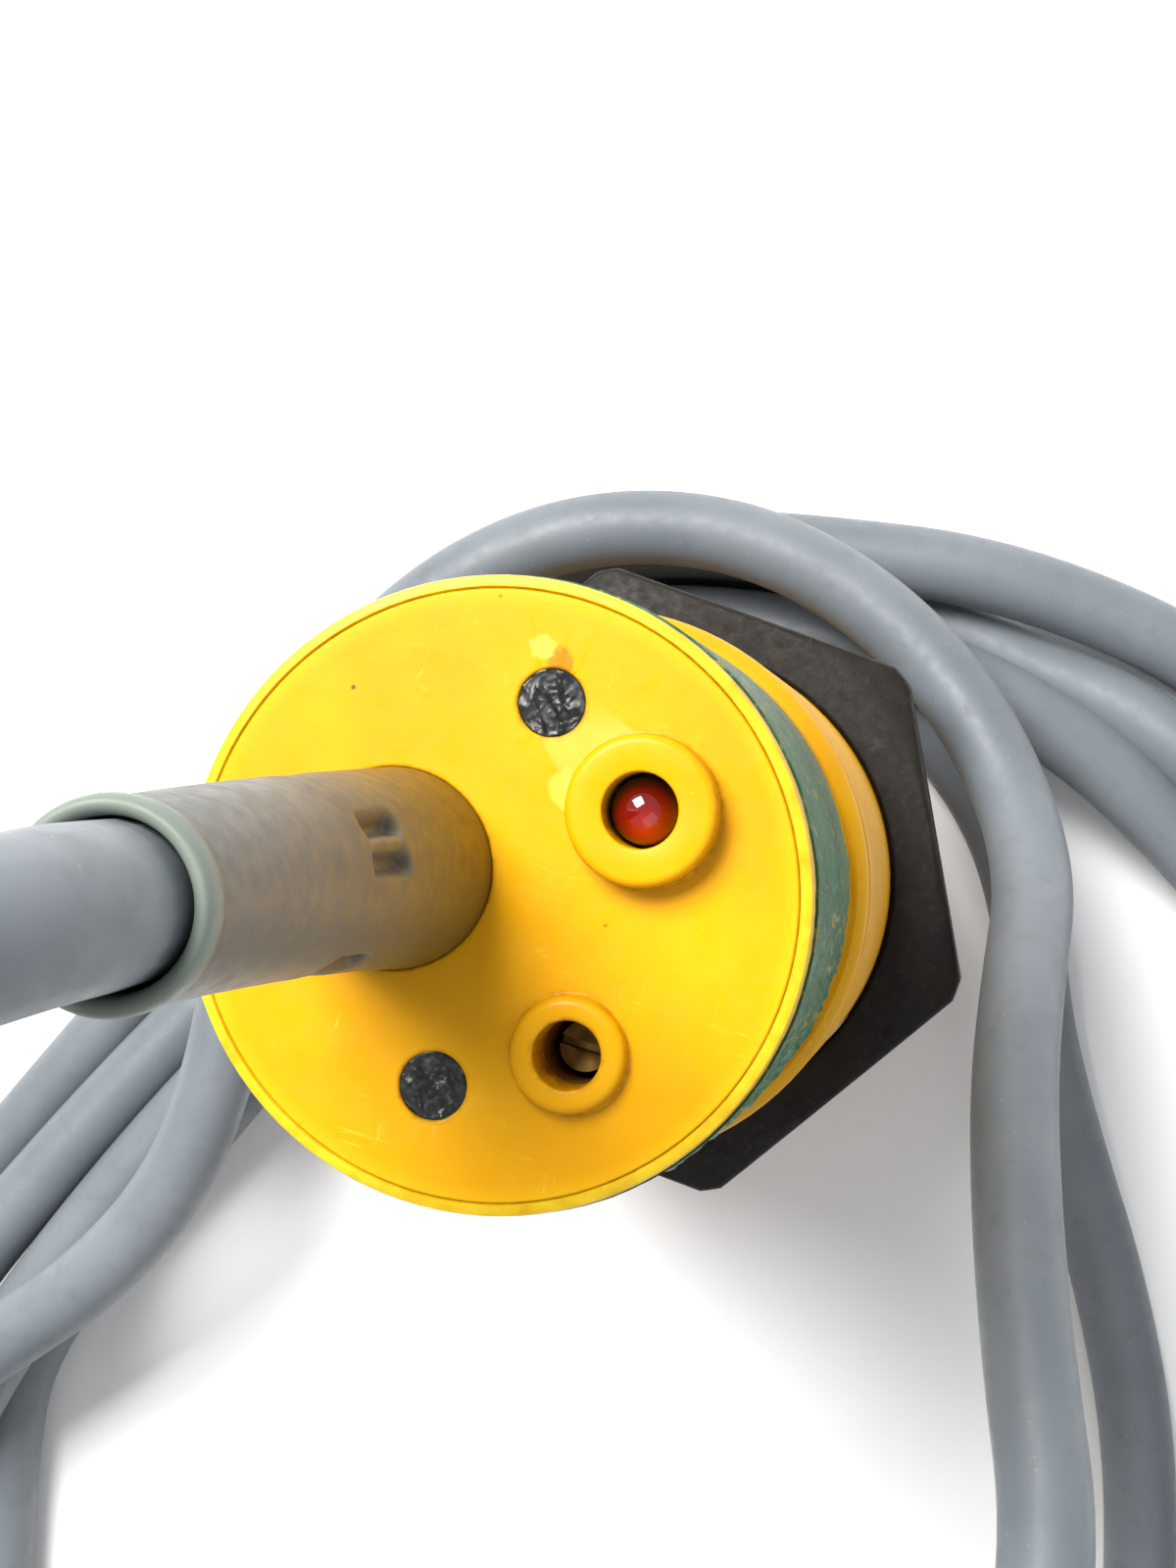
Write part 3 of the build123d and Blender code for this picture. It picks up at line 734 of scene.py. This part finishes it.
# In mm: the cable up out of the relief and round to the coil, the tail from the coil to the cores,
# and the last turn's way across the middle of the coil
CABLE_ROUTE = [
    (-4.6, -0.5, 104.0), (-4.5, -1.0, 114.0), (-4.7, -1.3, 120.0), (-10.6, -6.6, 133.6),
    (-23.2, -18.2, 143.6), (-39.8, -31.2, 142.2), (-49.0, -53.3, 132.3), (-42.2, -74.9, 117.5),
    (-21.2, -84.7, 101.8),
    (2.6, -81.9, 87.2), (23.4, -67.3, 75.4), (34.4, -46.8, 62.8), (35.0, -28.4, 52.6),
    (29.2, -16.2, 44.8), (25.4, -5.8, 36.6), (24.0, 1.2, 29.4), (23.2, 6.8, 23.2),
    (20.0, 12.2, 18.8), (14.2, 18.0, 16.2), (6.8, 22.0, 15.2), (-1.2, 23.8, 15.0),
    (-9.0, 23.0, 15.0), (-16.0, 20.0, 15.0), (-21.8, 15.0, 15.0), (-26.2, 8.4, 15.0),
    (-28.8, 0.8, 15.0), (-29.4, -7.2, 15.2), (-28.4, -15.4, 15.8), (-27.2, -23.6, 16.2),
    (-28.0, -32.0, 15.6), (-32.0, -40.6, 14.2), (-38.2, -48.2, 13.2), (-44.4, -56.4, 13.2)]
TAIL_ROUTE = [
    (-38.2, -61.5, 2.6), (-35.0, -73.0, 2.6), (-29.6, -83.4, 2.6), (-21.6, -91.0, 2.6),
    (-11.4, -94.6, 2.6), (-1.4, -92.6, 2.6), (7.0, -86.8, 2.6)]
INNER_ROUTE = [
    (48.6, -53.4, 2.6), (46.2, -41.2, 2.6), (42.4, -29.2, 2.6), (37.0, -19.0, 2.6), (31.2, -10.6, 2.6),
    (26.4, -2.7, 2.6), (23.4, 4.9, 2.6), (19.0, 11.0, 2.6), (12.8, 15.6, 2.6), (5.8, 18.6, 2.6),
    (-1.6, 19.4, 2.6)]
# The coil's middle line, anticlockwise, with half of its width there
COIL_LINE = [
    (-48.5, -67.0, 10.2), (-46.5, -86.5, 9.4), (-34.0, -101.5, 8.2), (-12.0, -107.5, 8.2),
    (12.5, -103.0, 8.2), (35.5, -90.0, 8.2), (53.5, -69.5, 8.2), (62.5, -44.0, 8.2),
    (60.0, -18.0, 8.2), (48.0, 3.5, 8.6), (31.0, 18.8, 9.0), (15.5, 23.6, 6.6),
    (0.5, 21.9, 5.5), (-12.6, 18.8, 5.5), (-22.0, 9.6, 5.5), (-26.4, -3.5, 7.2),
    (-30.5, -17.5, 8.4), (-36.0, -32.6, 9.8), (-42.8, -49.6, 10.4)]
# Each turn's lane, from -1 inside to 1 outside, and its height in mm, at each point of the line
OUTER_TURN = [(0.3, 13.2), (0.8, 12.8), (1, 8.4), (1, 4.4)] + [(1, 2.6)] * 3 + [
    (1.15, 2.6), (1.3, 2.6), (1.3, 2.6), (1.15, 2.6)] + [
    (1, 6.2), (1, 7.8), (1, 7.8), (1, 7.8), (1.2, 6.2), (1, 3.6), (1, 2.6), (1, 2.6)]
MIDDLE_TURN = [(0.75, 3.0), (0.45, 4.6), (0, 6.8)] + [(0, 7.8)] * 5 + [(0.15, 7.8), (0.3, 7.8)] + [
    (0.2, 4.8), (-0.4, 2.6), (1, 2.6), (1, 2.6), (0.95, 2.6), (0.15, 2.6), (0.1, 5.2), (0.35, 6.4),
    (0.4, 7.4)]
INNER_TURN = [(0, 7.8), (-0.5, 7.8)] + [(-1, 7.8)] * 5 + [(-0.95, 5.4), (-0.4, 2.8), (-0.15, 2.6)] + [
    (-0.65, 4.8), (-1, 8.2)] + [(-1, 7.8)] * 4 + [(-0.75, 7.8), (-0.35, 7.8), (-0.35, 7.8)]
LAST_START = [(-0.7, 6.2), (-1, 3.6)] + [(-1, 2.6)] * 5
LAST_END = [(-1, 2.6), (-1, 2.6), (-1, 2.6), (-0.8, 2.6), (-0.5, 2.6), (-0.4, 2.6)]


def lane_point(i, lane, height):
    """A point beside the coil's middle line, square to the chord of its neighbours."""
    x, y, half_width = COIL_LINE[i]
    (x0, y0, _), (x1, y1, _) = COIL_LINE[i - 1], COIL_LINE[(i + 1) % len(COIL_LINE)]
    shift = lane * (half_width - 2.6) / math.hypot(x1 - x0, y1 - y0)
    return x + (y1 - y0) * shift, y - (x1 - x0) * shift, height


def coil_points():
    """A spiral: each turn lies a lane further in, and the last cuts across the middle."""
    points = []
    for turn in (OUTER_TURN, MIDDLE_TURN, INNER_TURN, LAST_START):
        points += [lane_point(i, *where) for i, where in enumerate(turn)]
    points += INNER_ROUTE
    first = len(COIL_LINE) - len(LAST_END)
    return points + [lane_point(first + i, *where) for i, where in enumerate(LAST_END)]


def curve_of(name, points_mm, diameter):
    """A round cord along one smooth spline."""
    data = bpy.data.curves.new(name, "CURVE")
    data.dimensions = "3D"
    spline = data.splines.new("NURBS")
    spline.points.add(len(points_mm) - 1)
    for point, place in zip(spline.points, points_mm):
        point.co = (*(Vector(place) * MM), 1.0)
    spline.order_u = 3
    spline.use_endpoint_u = True
    spline.resolution_u = 10
    data.bevel_depth = diameter / 2
    data.bevel_resolution = 8
    data.use_fill_caps = True
    obj = bpy.data.objects.new(name, data)
    bpy.context.scene.collection.objects.link(obj)
    return obj


def add_cable():
    """The whole cable as one cord, from the relief to the bare cores."""
    cable = curve_of("cable_jacket", CABLE_ROUTE + coil_points() + TAIL_ROUTE, CABLE_D)
    cable.data.materials.append(finishes["grey_jacket"])
    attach(cable, HOUSING)
    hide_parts("cable", "cable_coil", "cable_inner_run", "cable_tail")


# ---------------------------------------------------------------- CAD pieces that stay

# The rounding of each piece's edges, in mm
EDGE_BREAKS = {"rear_cap": 0.14, "lock_nut": 0.35, "lock_washer": 0.2, "sensing_face_cap": 0.2,
               "trimmer_screw": 0.05, "trimmer_well": 0.1, "wire_ferrules": 0.08}


def round_edges(obj, width_mm):
    """A small radius on every sharp edge."""
    weld = obj.modifiers.new("weld", "WELD")
    weld.merge_threshold = 1e-6
    bevel = obj.modifiers.new("edges", "BEVEL")
    bevel.width = width_mm * MM
    bevel.segments = 3
    bevel.limit_method = "ANGLE"
    bevel.angle_limit = math.radians(35)
    smooth = obj.modifiers.new("normals", "WEIGHTED_NORMAL")
    smooth.keep_sharp = False


def finish_cad_nodes():
    """Every CAD piece gets its slot's material, and the seen ones get rounded edges."""
    slots = {part["node"]: part["material_slot"] for part in frame["record"]["subparts"]}
    for name, obj in frame["nodes"].items():
        obj.data.materials.clear()
        obj.data.materials.append(finishes[slots[name]])
        if name in EDGE_BREAKS:
            round_edges(obj, EDGE_BREAKS[name])
    cap = frame["nodes"]["rear_cap"]
    cap.data.materials.clear()
    cap.data.materials.append(yellow_plastic("yellow_cap", cap=True))


add_camera()
add_light()
add_floor()
finishes = make_finishes()
finish_cad_nodes()
add_barrel()
add_band()
add_plug("upper_plug", 0.0, PLUG_Y, seed=2.0)
add_plug("lower_plug", 0.0, -PLUG_Y, seed=6.0)
add_lens()
add_relief()
add_cable()
bpy.context.scene.view_settings.view_transform = "Standard"
